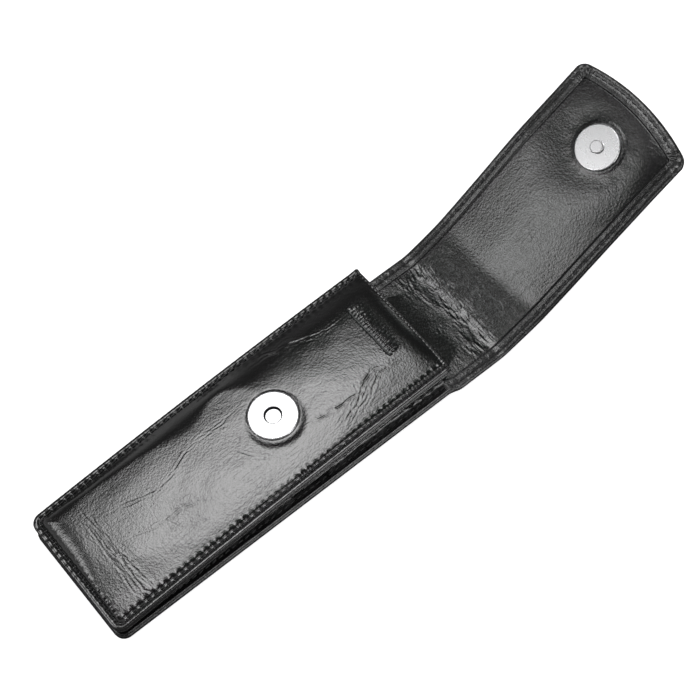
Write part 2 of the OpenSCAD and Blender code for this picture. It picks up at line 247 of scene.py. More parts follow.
def plate(name, top, under, uv, edge, out=None, cut=(), rings=5, square=0.75):
    """Closed plate between two grids of points, with rounded edges that stand out by edge mm.

    out is the outward direction at each point of the edge. cut lists the ends ("first", "last" row) that
    aren't rounded. rings is how many rings of points the edge has, and it is squarer for a smaller square.
    """
    m, n = top.shape[:2]
    rows, cols = loop_order(m, n)
    upper, lower = top[rows, cols], under[rows, cols]
    flat = uv[rows, cols]
    if out is None:
        along = np.roll(upper, -1, axis=0) - np.roll(upper, 1, axis=0)
        out = stacked(along[:, 1], -along[:, 0], np.zeros(len(along)))
        out /= np.linalg.norm(out, axis=1)[:, None]
    stand = np.full(len(rows), float(edge))
    for end in cut:
        at_end = rows == (0 if end == "first" else m - 1)
        inner = at_end & (cols > 0) & (cols < n - 1)
        stand[inner] = 0
        side = np.where(cols == 0, -1.0, 1.0)
        corner = at_end & ~inner
        out[corner] = stacked(side, side * 0, side * 0)[corner]
    middle, half = (upper + lower) / 2, (upper - lower) / 2
    flat_out = out[:, :2] / np.maximum(np.linalg.norm(out[:, :2], axis=1), 1e-6)[:, None]
    thickness = np.linalg.norm(2 * half, axis=1)
    verts, coords = [top.reshape(-1, 3)], [uv.reshape(-1, 2)]
    loops = [rows * n + cols]
    count = m * n
    for k in range(1, rings + 1):
        angle = math.pi * k / (rings + 1)
        c, s = math.cos(angle), math.sin(angle)
        c = math.copysign(abs(c) ** square, c)
        s = s**square
        verts.append(middle + half * c + out * (stand * s)[:, None])
        coords.append(flat + flat_out * (thickness * s / 2)[:, None])
        loops.append(count + np.arange(len(rows)))
        count += len(rows)
    coarse = under[::SKIP, ::SKIP]
    mc, nc = coarse.shape[:2]
    verts.append(coarse.reshape(-1, 3))
    coords.append(uv[::SKIP, ::SKIP].reshape(-1, 2))
    i, j = np.meshgrid(np.arange(m - 1), np.arange(n - 1), indexing="ij")
    q = (i * n + j).ravel()
    faces = stacked(q, q + 1, q + n + 1, q + n).tolist()
    for a, b in zip(loops[:-1], loops[1:]):
        faces += stacked(b, np.roll(b, -1), np.roll(a, -1), a).tolist()
    i, j = np.meshgrid(np.arange(mc - 1), np.arange(nc - 1), indexing="ij")
    q = count + (i * nc + j).ravel()
    faces += stacked(q, q + nc, q + nc + 1, q + 1).tolist()
    rows_c, cols_c = loop_order(mc, nc)
    coarse_loop = count + rows_c * nc + cols_c
    fine = loops[-1]
    half_skip = SKIP // 2
    for c in range(len(coarse_loop)):
        a, b = int(coarse_loop[c]), int(coarse_loop[(c + 1) % len(coarse_loop)])
        f = [int(fine[(SKIP * c + k) % len(fine)]) for k in range(SKIP + 1)]
        faces += [[a, f[k + 1], f[k]] for k in range(half_skip)]
        faces.append([a, b, f[half_skip]])
        faces += [[b, f[k + 1], f[k]] for k in range(half_skip, SKIP)]
    obj = make_mesh(name, np.concatenate(verts), faces, np.concatenate(coords))
    if cut:
        obj.data.set_sharp_from_angle(angle=math.radians(80))
    return obj


def steps(marks, counts):
    """Values that run through the marks, with the given number of steps between each two.

    The last step is split where the number of steps wouldn't divide by SKIP otherwise.
    """
    parts = [np.linspace(a, b, c, endpoint=False) for a, b, c in zip(marks[:-1], marks[1:], counts)]
    values = np.append(np.concatenate(parts), marks[-1])
    spare = -sum(counts) % SKIP
    return np.concatenate([values[:-2], np.linspace(values[-2], values[-1], spare + 2)])


# ---- The front's face ----


def front_z(y):
    """Height of the front's plain face, which is straight but for a slight crown."""
    u = (y + mouth) / body_l
    return bottom_h + (mouth_h - bottom_h) * u + 4 * front_crown * u * (1 - u)


def edge_distance(x, y):
    """Distance in from the sides and the rounded bottom; the mouth doesn't count."""
    dx, dy = half_w - np.abs(x), y + mouth
    corner = corner_r - np.hypot(np.maximum(corner_r - dx, 0), np.maximum(corner_r - dy, 0))
    return np.where((dx < corner_r) & (dy < corner_r), corner, np.minimum(dx, dy))


def seam_run(x, y):
    """Distance along the front's seam: down the sides from the mouth, and across the bottom."""
    dx, dy = half_w - np.abs(x), y + mouth
    return np.where(dx < dy, mouth - y, x + 200)


def hairlines(x, y, lean, long_cell, short_cell, seed):
    """Fine lines of about one direction, from 0 to 1, which lean from the y axis by some degrees."""
    c, q = math.cos(math.radians(lean)), math.sin(math.radians(lean))
    wander = noise(x, y, 7, 7, seed + 1) * 1.6
    across, along = x * c - y * q + wander, x * q + y * c
    return bell(noise(across, along, short_cell, long_cell, seed) / 0.24)


def bundle(x, y, points, depth, count, spread, seed):
    """Several creases that run side by side and wander across each other."""
    rng = np.random.default_rng(seed)
    points = np.array(points, float)
    width = 0.24
    h = 0
    for k in range(count):
        shift = rng.normal(0, spread, points.shape) * (k > 0)
        first = rng.integers(0, 2) if k else 0
        line = (points + shift)[first:] if len(points) > 3 else points + shift
        h = h + crease(x, y, line, depth * (1 if k == 0 else rng.uniform(0.4, 0.8)), width, seed * 20 + k)
    return h


def front_creases(x, y):
    """Creases where the leather has been bent, in bands: (points of its line, depth, number, spread)."""
    bands = [
        ([(-22, -58), (-8, -56.5), (3, -56.2), (11, -56.5), (20, -57), (24, -54.5)], 0.09, 7, 0.9),
        ([(-12, -55), (0, -56), (7, -55.3), (16, -54.5), (23.5, -53)], 0.09, 6, 0.8),
        ([(-19, -61), (-9, -59), (2, -58.6), (12, -59.3), (21, -60)], 0.05, 5, 0.8),
        ([(-10, -53), (-7, -44), (-4, -33), (-6.5, -26), (-8.5, -18), (-10, -8), (-9, 0)], 0.06, 6, 1.0),
        ([(3, -51), (5.5, -41), (6.5, -30), (9, -23), (11, -14)], 0.05, 6, 0.9),
        ([(6, -37), (11.5, -34), (14, -27.5), (14.7, -19)], 0.04, 5, 0.9),
        ([(-12.8, 58.5), (-13.4, 45), (-17.3, 36), (-19.3, 25), (-19.4, 18)], 0.1, 8, 1.3),
        ([(10.3, 59), (8.7, 51), (11, 45), (14.8, 39.4), (19.2, 29)], 0.11, 8, 1.3),
        ([(13, 62), (11.8, 51.5), (15.2, 44.3), (18.6, 37)], 0.1, 7, 1.2),
        ([(9.5, 18.6), (11.2, 25.3), (13, 34), (13.2, 44)], 0.08, 6, 0.7),
        ([(-9.5, 9.4), (-9.4, -2.5), (-10.1, -8.7)], 0.06, 5, 0.7),
        ([(-3, 1), (3, -3), (9, 0), (13, 7)], 0.07, 6, 0.8),
    ]
    h = 0
    for k, (points, depth, count, spread) in enumerate(bands):
        h = h + bundle(x, y, points, depth, count, spread, k + 1)
    return h


def front_hairlines(x, y):
    """Fine broken lines all over the front, along it for the most part and across it near the bottom."""
    patch = smooth((noise(x, y, 11, 17, 91) + 0.55) / 1.1)
    other = smooth((noise(x, y, 9, 12, 92) + 0.3) / 1.0)
    low = bell((y + 57) / 7)
    h = -0.010 * patch * hairlines(x, y, 8, 9, 1.6, 93)
    h -= 0.007 * other * hairlines(x, y, -20, 7.5, 1.4, 94)
    h -= 0.006 * smooth((noise(x, y, 8, 8, 95) + 0.1) / 0.8) * hairlines(x, y, 52, 4.0, 1.5, 96)
    h -= 0.018 * low * hairlines(x, y, 86, 7.0, 1.2, 97)
    return h + 0.004 * noise(x, y, 0.9, 0.9, 98) + 0.006 * noise(x, y, 1.6, 1.9, 99)


def on_left(x):
    """From 1 on the front's left side to 0 on its right."""
    return smooth(0.5 - x / 20)


def fullness(x, y, d):
    """Swell of the front, fullest along a line from its lower left to the middle of its upper half."""
    up = smooth((y + 50) / 95)
    fullest = -19 + 17 * up - 9.5 * bell((y - 5) / 11) - 2.5 * smooth((-50 - y) / 14)
    high = (2.8 - 0.4 * up) * (0.94 + 0.06 * smooth((y + mouth - 2) / 9))
    reach = half_w - seam_inset
    to_left = np.clip((fullest - x) / (fullest + reach), 0, 1)
    to_right = np.clip((x - fullest) / (reach - fullest), 0, 1)
    h = high * np.where(x < fullest, 1 - to_left**2.3, 1 - 0.8 * to_right**2)
    h = h * (1 - np.exp(-np.maximum(d - seam_inset - 0.2, 0) / (0.6 + 1.2 * on_left(x))))
    h = h * (1 - 0.62 * np.exp(-np.maximum(mouth - y - 1.2, 0) / 3))
    h += 0.2 * noise(x, y, 14, 20, 21) * smooth((d - 4) / 6)
    return h + 0.04 * noise(x, y, 5, 7, 22) * smooth((d - 3) / 4)


def rim(x, y, d):
    """Rounded rim outside the seam, puckered by each stitch, and the groove the thread lies in."""
    phase = 2 * np.pi * seam_run(x, y) / stitch_pitch
    puckers = np.cos(phase + 0.9 * noise(x, y, 5, 5, 23))
    strength = (0.14 - 0.05 * on_left(x)) * (0.7 + 0.7 * noise(x, y, 7, 7, 24))
    groove = bell((d - seam_inset) / 0.5)
    h = (0.12 + 0.06 * on_left(x) * puckers) * bell((d - 1.0) / 0.65) - 0.34 * groove
    return h + puckers * (strength * bell((d - seam_inset - 0.9) / 1.1) + 0.16 * groove)


def mouth_edge(x, y):
    """The front's edge at the mouth, turned over unevenly and raised at its two ends."""
    to_mouth = mouth - y
    wavy = 1 + 0.4 * noise(x, y, 2.6, 9, 25)
    twist = np.cos(2 * np.pi * x / 1.7 + 3 * noise(x, x * 0, 5, 5, 29))
    h = (0.08 * wavy + 0.06 * twist) * smooth((2.0 - to_mouth - 0.2 * twist) / 1.1)
    return h + 0.6 * bell((half_w - np.abs(x) - 0.5) / 1.5) * bell((to_mouth - 0.2) / 1.7)


def bar_seam(x, y):
    """Short ridge pinched up by the divider's seam and crimped by its thread, with a valley along it."""
    across = (x - ridge_x[0]) / (ridge_x[1] - ridge_x[0])
    span = smooth(across / 0.05) * smooth((1 - across) / 0.05)
    line = ridge_y + 0.25 * noise(x, x * 0, 4, 4, 26)
    crimp = np.cos(2 * np.pi * x / 1.35 + 2.2 * noise(x, y, 2.4, 2.4, 27)) + 0.6 * noise(x, y, 0.7, 0.7, 30)
    ridge = 0.2 * bell((y - line) / np.where(y < line, 0.9, 2.4)) * (1 + 0.5 * crimp)
    valley = 0.45 * bell((y - line + ridge_valley) / 0.48)
    near = bell((y - ridge_y + 1) / 3) * smooth((across + 0.2) / 0.25) * smooth((1.2 - across) / 0.25)
    return span * (ridge - valley) + 0.02 * near * crimp


def press_in_socket(x, y, h):
    """The relief h with the snap's socket pressed into it, deepest on the socket's right."""
    r = np.hypot(x, y - socket_y)
    turn = np.arctan2(y - socket_y, x)
    side = (0.5 + 0.5 * np.cos(turn + 0.15)) ** 2
    reach = 1.0 + 4.0 * side + 0.7 * side * noise(np.cos(turn) * 5, np.sin(turn) * 5, 3, 3, 28)
    seat = 2.05 - 0.8 * side
    h = seat + (h - 0.5 * bell(r / 16) - seat) * smooth((r - socket_r + 0.2) / reach)
    h -= 0.15 * side**2 * bell((r - socket_r - 1.2) / 1.2)
    return h * smooth((r - socket_r + 0.5) / 0.45)


def front_relief(x, y):
    """Height of the front's leather over its plain face."""
    d = edge_distance(x, y)
    h = fullness(x, y, d) + rim(x, y, d) + mouth_edge(x, y) + bar_seam(x, y)
    h += (front_creases(x, y) + front_hairlines(x, y)) * smooth((d - 2.4) / 1.5)
    # Pleat in the lower left corner
    h -= 0.3 * bell(((x + 22.3) - (y + 68.6) * 0.9) / 0.55) * bell((y + 67.5) / 1.8) * (x < 0)
    return press_in_socket(x, y, h)


def front_panel(material):
    """The front's outer leather, one skin with all its relief."""
    edge = 0.75
    rows = steps([-mouth + edge, -mouth + edge + 3.6, mouth - edge - 3, mouth - edge], [18, 455, 13])
    columns = steps([-1, -0.8, 0.8, 1], [26, 144, 26])
    x, y = grid(rows, columns, half_w - edge - corner_cut(corner_r - edge, rows - rows[0]))
    face = front_z(y)
    top = stacked(x, y, face + front_relief(x, y))
    obj = plate("front_leather", top, stacked(x, y, face - rim_t), stacked(x, y), edge, square=0.9)
    return finish_piece(obj, material, "outer_leather", "case", "front_panel")


def wall_layer(name, inset, top_depth, under_depth, edge=0.3):
    """A thin flat layer with the body's outline, between two depths under the front's plain face."""
    step = 1.2
    inset += edge
    r = max(corner_r - inset, 1.0)
    low = -mouth + inset
    rows = steps([low, low + r, mouth - inset], [8, int(body_l / step)])
    columns = steps([-1, 1], [int(body_w / step)])
    x, y = grid(rows, columns, half_w - inset - corner_cut(r, rows - rows[0]))
    top, under = stacked(x, y, front_z(y) - top_depth), stacked(x, y, front_z(y) - under_depth)
    return plate(name, top, under, stacked(x, y), edge, rings=3)


def divider(material):
    """Soft tongue that hangs under the front from the bar seam."""
    half, length, thick, r = 11.1, 100, 0.75, 6.0
    x_mid = -2.7
    high = ridge_y + 2
    rows = steps([high - length + 0.4, high - 0.4], [80])
    columns = steps([-1, 1], [24])
    x, y = grid(rows, columns, half - corner_cut(r, rows - rows[0]))
    x = x + x_mid
    sag = 0.5 * smooth((ridge_y - 10 - y) / 60) + 0.12 * noise(x, y, 7, 12, 71)
    top = stacked(x, y, front_z(y) - stack_t - 0.45 - np.maximum(sag, 0))
    obj = plate("divider_leather", top, top - [0, 0, thick], stacked(x, y), 0.3, rings=3)
    return finish_piece(obj, material, "lining_leather", "case", "pen_divider")


# ---- Gusset ----


def outline_path(inset, r):
    """Points from the mouth down the left side, across the bottom and up the right side, with the ways out.

    Every inset gives the same number of points.
    """
    side_steps, corner_steps, half_bottom_steps = 420, 18, 60
    x_side, y_low = half_w - inset, -mouth + inset
    y = np.linspace(mouth - 0.4, y_low + r, side_steps, endpoint=False)
    x = np.linspace(-x_side + r, 0, half_bottom_steps, endpoint=False)
    turn = np.linspace(math.pi, 1.5 * math.pi, corner_steps, endpoint=False)
    corner_out = stacked(np.cos(turn), np.sin(turn))
    corner = np.array([-x_side + r, y_low + r]) + r * corner_out
    half_p = np.concatenate([stacked(0 * y - x_side, y), corner, stacked(x, 0 * x + y_low)])
    half_o = np.concatenate([stacked(0 * y - 1, 0 * y), corner_out, stacked(0 * x, 0 * x - 1)])
    flip = np.array([-1.0, 1.0])
    points = np.concatenate([half_p, [[0.0, y_low]], half_p[::-1] * flip])
    return points, np.concatenate([half_o, [[0.0, -1.0]], half_o[::-1] * flip])


def gusset(material):
    """Strip with a C section: flanges along the front and the back, and a wall set in behind them."""
    low = stack_t
    fillet = 0.8
    root = gusset_t + fillet
    # The section's points: inset, share of the height, offset from that end of the height
    flange = [(0.55, 0, 0.02), (0.3, 0, 0.25), (0.25, 0, 0.5), (0.3, 0, 0.8), (0.55, 0, 0.98)]
    flange += [(i, 0, gusset_t) for i in (1.0, 1.5, 2.0, 2.5, 3.0)]
    for k in range(1, 5):
        a = math.pi / 2 * k / 5
        inset = gusset_inset - fillet + fillet * math.sin(a)
        flange.append((inset, 0, gusset_t + fillet * (1 - math.cos(a))))
    wall = [(gusset_inset, s, 0.0) for s in np.linspace(0.0, 1.0, 23)]
    inner = gusset_inset + gusset_t
    back = [(i, 1, -0.02) for i in (1.5, 3.0, inner - 0.2)]
    back += [(inner, s, 0) for s in (0.94, 0.8, 0.65, 0.5, 0.35, 0.2, 0.06)]
    back += [(i, 0, 0.02) for i in (inner - 0.2, 3.0, 1.5)]
    profile = flange + wall + [(i, 1, -o) for i, _, o in reversed(flange)] + back
    rings, flats = [], []
    for number, (inset, share, offset) in enumerate(profile):
        points, outward = outline_path(inset, max(corner_r - inset, 1.0))
        high = front_z(points[:, 1]) - stack_t
        is_wall = (inset, share, offset) in wall
        if is_wall:
            z = low + root + (high - low - 2 * root) * share
            z = np.where(high - low > 2 * root + 0.1, z, (low + high) / 2)
        else:
            z = low + (high - low) * share + offset
        run = np.concatenate([[0], np.cumsum(np.linalg.norm(np.diff(points, axis=0), axis=1))])
        depth = smooth((inset - 1.5) / 2.5)
        big = smooth((high - low - 2 * gusset_t) / 12)
        from_mouth = np.minimum(run, run[-1] - run)
        loose = bell(from_mouth / 26)
        fold = noise(run, z, 5.5, 6, 41) * 0.7 + noise(run, z, 1.7, 3.6, 42) * 0.35
        fold = fold + 0.4 * ridged(run + 0.7 * z, z, 1.9, 4.0, 44) * (0.4 + 0.6 * loose)
        bulge = big * fold + loose * (-1.5 + 0.9 * fold)
        push = depth * bulge * (bell((share - 0.5) / 0.42) if is_wall else 0.3)
        z = z + (1 - share if not is_wall else 0) * 0.12 * depth * noise(run, z, 3, 3, 43)
        points = points - outward * push[:, None]
        rings.append(stacked(points[:, 0], points[:, 1], z))
        flats.append(stacked(np.full(len(run), inset + number * 0.35), run))
    rings, flats = np.array(rings), np.array(flats)
    k, n = rings.shape[:2]
    faces = []
    for a in range(k):
        q, below = a * n + np.arange(n - 1), (a + 1) % k * n + np.arange(n - 1)
        faces += stacked(q, q + 1, below + 1, below).tolist()
    faces.append([a * n for a in range(k)])
    faces.append([a * n + n - 1 for a in reversed(range(k))])
    obj = make_mesh("gusset_leather", rings.reshape(-1, 3), faces, flats.reshape(-1, 2))
    obj.data.set_sharp_from_angle(angle=math.radians(70))
    return finish_piece(obj, material, "outer_leather", "case", "gusset")


# ---- Snap ----


def socket_hole_shade_ring(material):
    """Thin dark ring at the rim of the hole in the socket's cover, shaped like a rolled lip: painted shade
    for the gap round the post.
    """
    turns, sides, radius = 72, 12, 0.14
    across, along, up = directions(math.atan2(front_z(socket_y + 1) - front_z(socket_y - 1), 2))
    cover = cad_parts["socket_cover"].data
    cover_height = max(np.dot(np.array(v.co) / MM, up) for v in cover.vertices)
    foot = np.array([0, socket_y, front_z(socket_y)])
    centre = foot + up * (cover_height - np.dot(foot, up) - 0.06)
    verts = []
    for a in np.arange(turns) * 2 * math.pi / turns:
        outward = across * math.cos(a) + along * math.sin(a)
        for b in np.arange(sides) * 2 * math.pi / sides:
            verts.append(centre + outward * (hole_r + radius * math.cos(b)) + up * radius * math.sin(b))
    obj = make_mesh("socket_hole_shade_ring", verts, tube_faces(turns, sides, closed=True))
    return finish_piece(obj, material, "snap_steel", "case")


# ---- Back, spine and flap: one run of leather ----


def bend_angle(x, p, start):
    """How far the leather has turned up at p: sharply where it creases, then slowly to the flap's angle."""
    crease_turn = math.radians(22)
    lift = -x / flap_half
    rise = crease_turn * smooth((p - start + 0.4 * lift) / 6)
    rise = rise + (flap_rise - crease_turn) * smooth((p - board_p + 10 + 2 * lift) / (11 + 2 * lift))
    twist = math.radians(1.3) * lift * smooth((p - start) / 20)
    bow = math.radians(2.4) * (bell((p - 141) / 18) - 0.1 * bell((p - 166) / 9))
    droop = math.radians(3.5) * smooth((p - 166 - 0.6 * x) / 14)
    return rise + twist + bow - droop


table_x = np.linspace(-flap_half - 1, flap_half + 1, 45)
table_p = np.linspace(80, bend_p + flap_l + 4, 900)


def run_table(start):
    """Position y, z and slope of the inner face along the leather, for each x."""
    x, p = np.meshgrid(table_x, table_p, indexing="ij")
    angle = bend_angle(x, p, start)
    step = table_p[1] - table_p[0]
    middle = (angle[:, 1:] + angle[:, :-1]) / 2
    zero = np.zeros((len(table_x), 1))
    y = table_p[0] + np.concatenate([zero, np.cumsum(np.cos(middle) * step, axis=1)], axis=1)
    z = spine_t + np.concatenate([zero, np.cumsum(np.sin(middle) * step, axis=1)], axis=1)
    return y, z, angle


def find_bend_start():
    """The start of the bend for which the flap's middle lies in the plane of the CAD flap."""
    low, high = 85.0, 105.0
    for _ in range(30):
        start = (low + high) / 2
        y, z, _ = run_table(start)
        middle = len(table_x) // 2
        k = np.searchsorted(table_p, stud_p)
        above = (z[middle, k] - spine_t) * math.cos(flap_rise) - (y[middle, k] - bend_p) * math.sin(flap_rise)
        low, high = (start, high) if above > 0 else (low, start)
    return start


bend_start = find_bend_start()
run_y, run_z, run_angle = run_table(bend_start)


def look_up(table, x, p):
    """Value of one of the run's tables at (x, p)."""
    u = (np.clip(x, table_x[0], table_x[-1]) - table_x[0]) / (table_x[1] - table_x[0])
    v = (np.clip(p, table_p[0], table_p[-1]) - table_p[0]) / (table_p[1] - table_p[0])
    i = np.minimum(u.astype(int), len(table_x) - 2)
    j = np.minimum(v.astype(int), len(table_p) - 2)
    return mix_corners(table, i, i + 1, j, j + 1, u - i, v - j)


def on_run(x, p, h):
    """Point at height h over the inner face of the leather, which lies flat round the stud's plate."""
    flat = p < table_p[0]
    y = np.where(flat, p, look_up(run_y, x, p))
    z = np.where(flat, spine_t, look_up(run_z, x, p))
    a = np.where(flat, 0.0, look_up(run_angle, x, p))
    above_plane = (z - spine_t) * math.cos(flap_rise) - (y - bend_p) * math.sin(flap_rise)
    h = h - above_plane * (1 - smooth((np.hypot(x, p - stud_p) - plate_r - 1) / 20))
    return stacked(x, y - h * np.sin(a), z + h * np.cos(a))


def run_point(x, p):
    """One point of the leather's inner face."""
    return on_run(np.array([x]), np.array([p]), np.zeros(1))[0]


def run_frame(x, p):
    """Directions across, along and out of the leather at (x, p)."""
    angle = look_up(run_angle, np.array([x]), np.array([p]))[0] if p >= table_p[0] else 0.0
    return directions(float(angle))


def run_half_width(p):
    """Half the width of the leather along the run: the body's, then the flap's."""
    return half_w + (flap_half - half_w) * smooth((p - mouth + 1) / 6)


def run_thickness(p):
    """Thickness of the whole run: the spine's, then the flap's with its board."""
    return spine_t + (flap_t - spine_t) * smooth((p - 95) / 14)


def tip_p(x):
    """Place of the flap's tip at x."""
    return tip_c + np.sqrt(tip_r**2 - x * x) - tip_skew * x


def run_edge_distance(x, p):
    """Distance in from the sides of the leather and from the flap's tip."""
    dx, dp = flap_half - np.abs(x), (tip_p(np.clip(x, -flap_half, flap_half)) - p) * 0.98
    r = flap_corner_r
    corner = r - np.hypot(np.maximum(r - dx, 0), np.maximum(r - dp, 0))
    near_tip = np.where((dx < r) & (dp < r), corner, np.minimum(dx, dp))
    return np.where(p < tip_from_p, run_half_width(p) - np.abs(x), near_tip)


def wrinkles(x, p):
    """Crinkles across the spine, where the leather folds each time the case is closed."""
    lean = p + 0.05 * x + 0.8 * noise(x, p, 10, 14, 51) + 0.35 * noise(x, p, 2.2, 3.0, 58)
    sides = smooth((24 - np.abs(x)) / 5)
    main = bell((lean - 95) / 5.5) * (0.7 + 0.6 * noise(x, p, 5, 4, 52))
    early = 0.6 * bell((p - 88) / 5) * smooth((noise(x, p, 7, 4, 56) + 0.1) / 0.7)
    late = 0.25 * bell((p - 106) / 6) * smooth((noise(x, p, 7, 5, 57) + 0.2) / 0.7)
    zone = np.maximum(main + early + late, 0) * sides
    fine = 0.08 * ridged(x, lean, 4.5, 1.1, 53) + 0.05 * ridged(x, lean, 2.8, 0.75, 54)
    wide = 0.03 * ridged(x, lean, 8, 2.4, 55)
    return zone * (fine + wide)


def hem_relief(x, p):
    """Height of the turned hem's face, with the groove of its seam and small gathers."""
    d = run_edge_distance(x, p)
    widest = 27  # the tip's curve is followed as far as here from the middle
    run = np.where(flap_half - np.abs(x) < tip_p(np.clip(x, -widest, widest)) - p, p, x + 500)
    phase = 2 * np.pi * run / stitch_pitch
    h = -0.15 * bell((d - hem_w / 2) / 0.45) + 0.025 * np.cos(phase) * bell((d - hem_w / 2) / 1.0)
    h += 0.05 * noise(x, p, 2.2, 2.2, 61) + 0.08 * noise(x, p, 5, 9, 62)
    out_x = np.abs(x)
    corner = bell((out_x - flap_half + 3.5) / 3.2) * bell((p - tip_p(np.clip(out_x, 0, widest)) + 3) / 3.5)
    turn = np.arctan2(tip_p(20.0) - 6 - p, out_x - flap_half + 7.5)
    h += 0.22 * corner * np.cos(turn * 15) + 0.1 * corner
    off = x - 9.3  # across the one larger gather in the tip's hem
    return h + 0.16 * bell(off / 0.9) * np.cos(off * 3.2) * bell((p - tip_p(x) + 2.5) / 2.5)


def back_leather(material):
    """Outer leather of the back, as far as the middle of the spine. It lies on the table."""
    edge = 0.9
    rows = steps([-mouth + edge, -mouth + edge + 3.1, mouth - 2, spine_middle], [12, 150, 60])
    columns = steps([-1, -0.8, 0.8, 1], [22, 56, 22])
    x, p = grid(rows, columns, run_half_width(rows) - edge - corner_cut(corner_r - edge, rows - rows[0]))
    in_spine = smooth((p - mouth - 0.5) / 3)
    d = run_half_width(p) - np.abs(x)
    hem = smooth((hem_w + hem_gap - d) / 0.3)
    spine_top = -0.75 + hem * (0.75 + hem_relief(x, p))
    top = on_run(x, p, (turned_t - spine_t) * (1 - in_spine) + spine_top * in_spine)
    groove = 0.3 * bell((edge_distance(x, p) - seam_inset) / 0.5) * (p < mouth)
    under = on_run(x, p, groove - spine_t)
    obj = plate("back_leather", top, under, stacked(x, p), edge, cut=("last",))
    return finish_piece(obj, material, "outer_leather", None, "back_panel")


def back_lining(material):
    """Lining of the back, from the bottom of the pocket to the middle of the spine, where it crinkles."""
    edge = 0.3
    inset = 0.6
    rows = steps([-mouth + inset, 60, 78, spine_middle], [60, 40, 84])
    columns = steps([-1, 1], [132])
    in_body, in_hem = half_w - inset, flap_half - hem_w - 0.35
    reach = in_body + (in_hem - in_body) * smooth((rows - mouth + 4) / 4)
    x, p = grid(rows, columns, reach - corner_cut(corner_r - inset, rows - rows[0]))
    down = smooth((p - mouth + 3) / (6 + 12 * smooth((20 - np.abs(x)) / 6)))
    h = (stack_t - spine_t) * (1 - down) - lining_sunk * down
    bumps = wrinkles(x, p) + 0.05 * noise(x, p, 4, 4, 63) * down
    top, under = on_run(x, p, h + bumps), on_run(x, p, h - lining_t)
    obj = plate("back_lining_leather", top, under, stacked(x, p), edge, cut=("last",), rings=3)
    return finish_piece(obj, material, "lining_leather", None, "back_lining")


def flap_grid(inset, rows_p, columns):
    """Grid over the flap, whose rows bend to follow the tip and shorten at its rounded corners.

    rows_p are places along the middle of the flap, and the last one is the tip's inset.
    """
    r = max(flap_corner_r - inset, 0.6)
    last = rows_p[-1]
    half = np.where(rows_p < mouth + 30, run_half_width(rows_p), flap_half) - inset
    x, p = grid(rows_p, columns, half - corner_cut(r, last - rows_p))
    sag = tip_p(np.zeros(1))[0] - tip_p(x)
    return x, p - sag * smooth((p - 120) / (last - 120))


def stud_relief(x, p):
    """Lining drawn in round the stud's plate, deepest at its two legs."""
    r = np.hypot(x, p - stud_p)
    turn = np.arctan2(p - stud_p, x)
    two = 0.45 + 0.55 * np.cos(turn) ** 2
    h = -0.1 * two * bell((r - plate_r - 4.5) / 3.2) + 0.05 * bell((r - plate_r - 0.6) / 1.6)
    h += 0.02 * np.cos(turn * 13 + noise(r, turn, 2, 1, 64)) * bell((r - plate_r - 4) / 2.5) * two
    return h * smooth((r - plate_r + 0.6) / 0.8) + 0.17 * (1 - smooth((r - plate_r - 0.4) / 1.5))


def lining_relief(x, p):
    """Height of the flap's lining: the spine's wrinkles, the pull of the stud, a soft crown and scratches."""
    h = wrinkles(x, p)
    h = h + stud_relief(x, p) + 0.07 * noise(x, p, 9, 16, 65) * smooth((p - 104) / 8)
    h += 0.012 * noise(x, p, 3, 4, 66)
    h += 0.1 * smooth((p - board_p + 5) / 7) - 0.1
    off_stud = smooth((np.hypot(x, p - stud_p) - plate_r) / 22)
    h += (0.35 - 0.65 * ((x - 1.5) / 23) ** 2) * smooth((p - board_p + 8) / 16) * off_stud
    scratches = [
        [(-3, 120), (4, 131), (6, 142)],
        [(8, 118), (3, 127), (-6, 133)],
        [(-14, 128), (-8, 141)],
        [(12, 140), (5, 152)],
        [(-16, 112), (-5, 116), (6, 114)],
    ]
    for k, line in enumerate(scratches):
        h += crease(x, p, line, 0.02, 0.3, 80 + k, 1.0)
    return h


def flap_out(top):
    """Outward direction round the edge of a grid that lies on the run of leather."""
    m, n = top.shape[:2]
    rows, cols = loop_order(m, n)
    points = top[rows, cols]
    along = np.roll(points, -1, axis=0) - np.roll(points, 1, axis=0)
    across = top[rows, -1] - top[rows, 0]
    across /= np.linalg.norm(across, axis=1)[:, None]
    nxt = top[np.minimum(rows + 1, m - 1), n // 2] - top[np.maximum(rows - 1, 0), n // 2]
    up = np.cross(across, nxt)
    out = np.cross(along, up)
    return out / np.linalg.norm(out, axis=1)[:, None]


def flap_leather(material):
    """Outer leather of the flap, turned in all round as a hem."""
    edge = 1.15
    end = bend_p + flap_l
    rows = steps([spine_middle, 101, end - 8, end - edge], [30, 190, 28])
    columns = steps([-1, -0.78, 0.78, 1], [24, 50, 24])
    x, p = flap_grid(edge, rows, columns)
    d = run_edge_distance(x, p)
    hem = smooth((hem_w + hem_gap - d) / 0.3)
    recess = smooth((d - 6.6) / 0.5) * smooth((p - board_p + 1) / 0.6)
    top = on_run(x, p, -0.8 - 0.85 * recess + hem * (0.8 + hem_relief(x, p)))
    seam = 0.25 * bell((d - hem_w / 2) / 0.5) * smooth((p - 80) / 10)
    crown = 0.35 * smooth((d - 3) / 10) * smooth((p - 108) / 8)
    under = on_run(x, p, seam - run_thickness(p) - crown)
    obj = plate("flap_leather_skin", top, under, stacked(x, p), edge, flap_out(top), cut=("first",), rings=7)
    return finish_piece(obj, material, "outer_leather", None, "flap_leather", "spine_leather")


def flap_board(material):
    """Board inside the flap, between the lining and the outer leather."""
    inset = 7.4
    x, p = flap_grid(inset, steps([board_p, bend_p + flap_l - inset], [60]), steps([-1, 1], [40]))
    top, under = on_run(x, p, -0.9 + 0 * x), on_run(x, p, -1.55 + 0 * x)
    obj = plate("flap_board", top, under, stacked(x, p), 0.2, flap_out(top), rings=2)
    return finish_piece(obj, material, "board", "flap", "flap_stiffener")


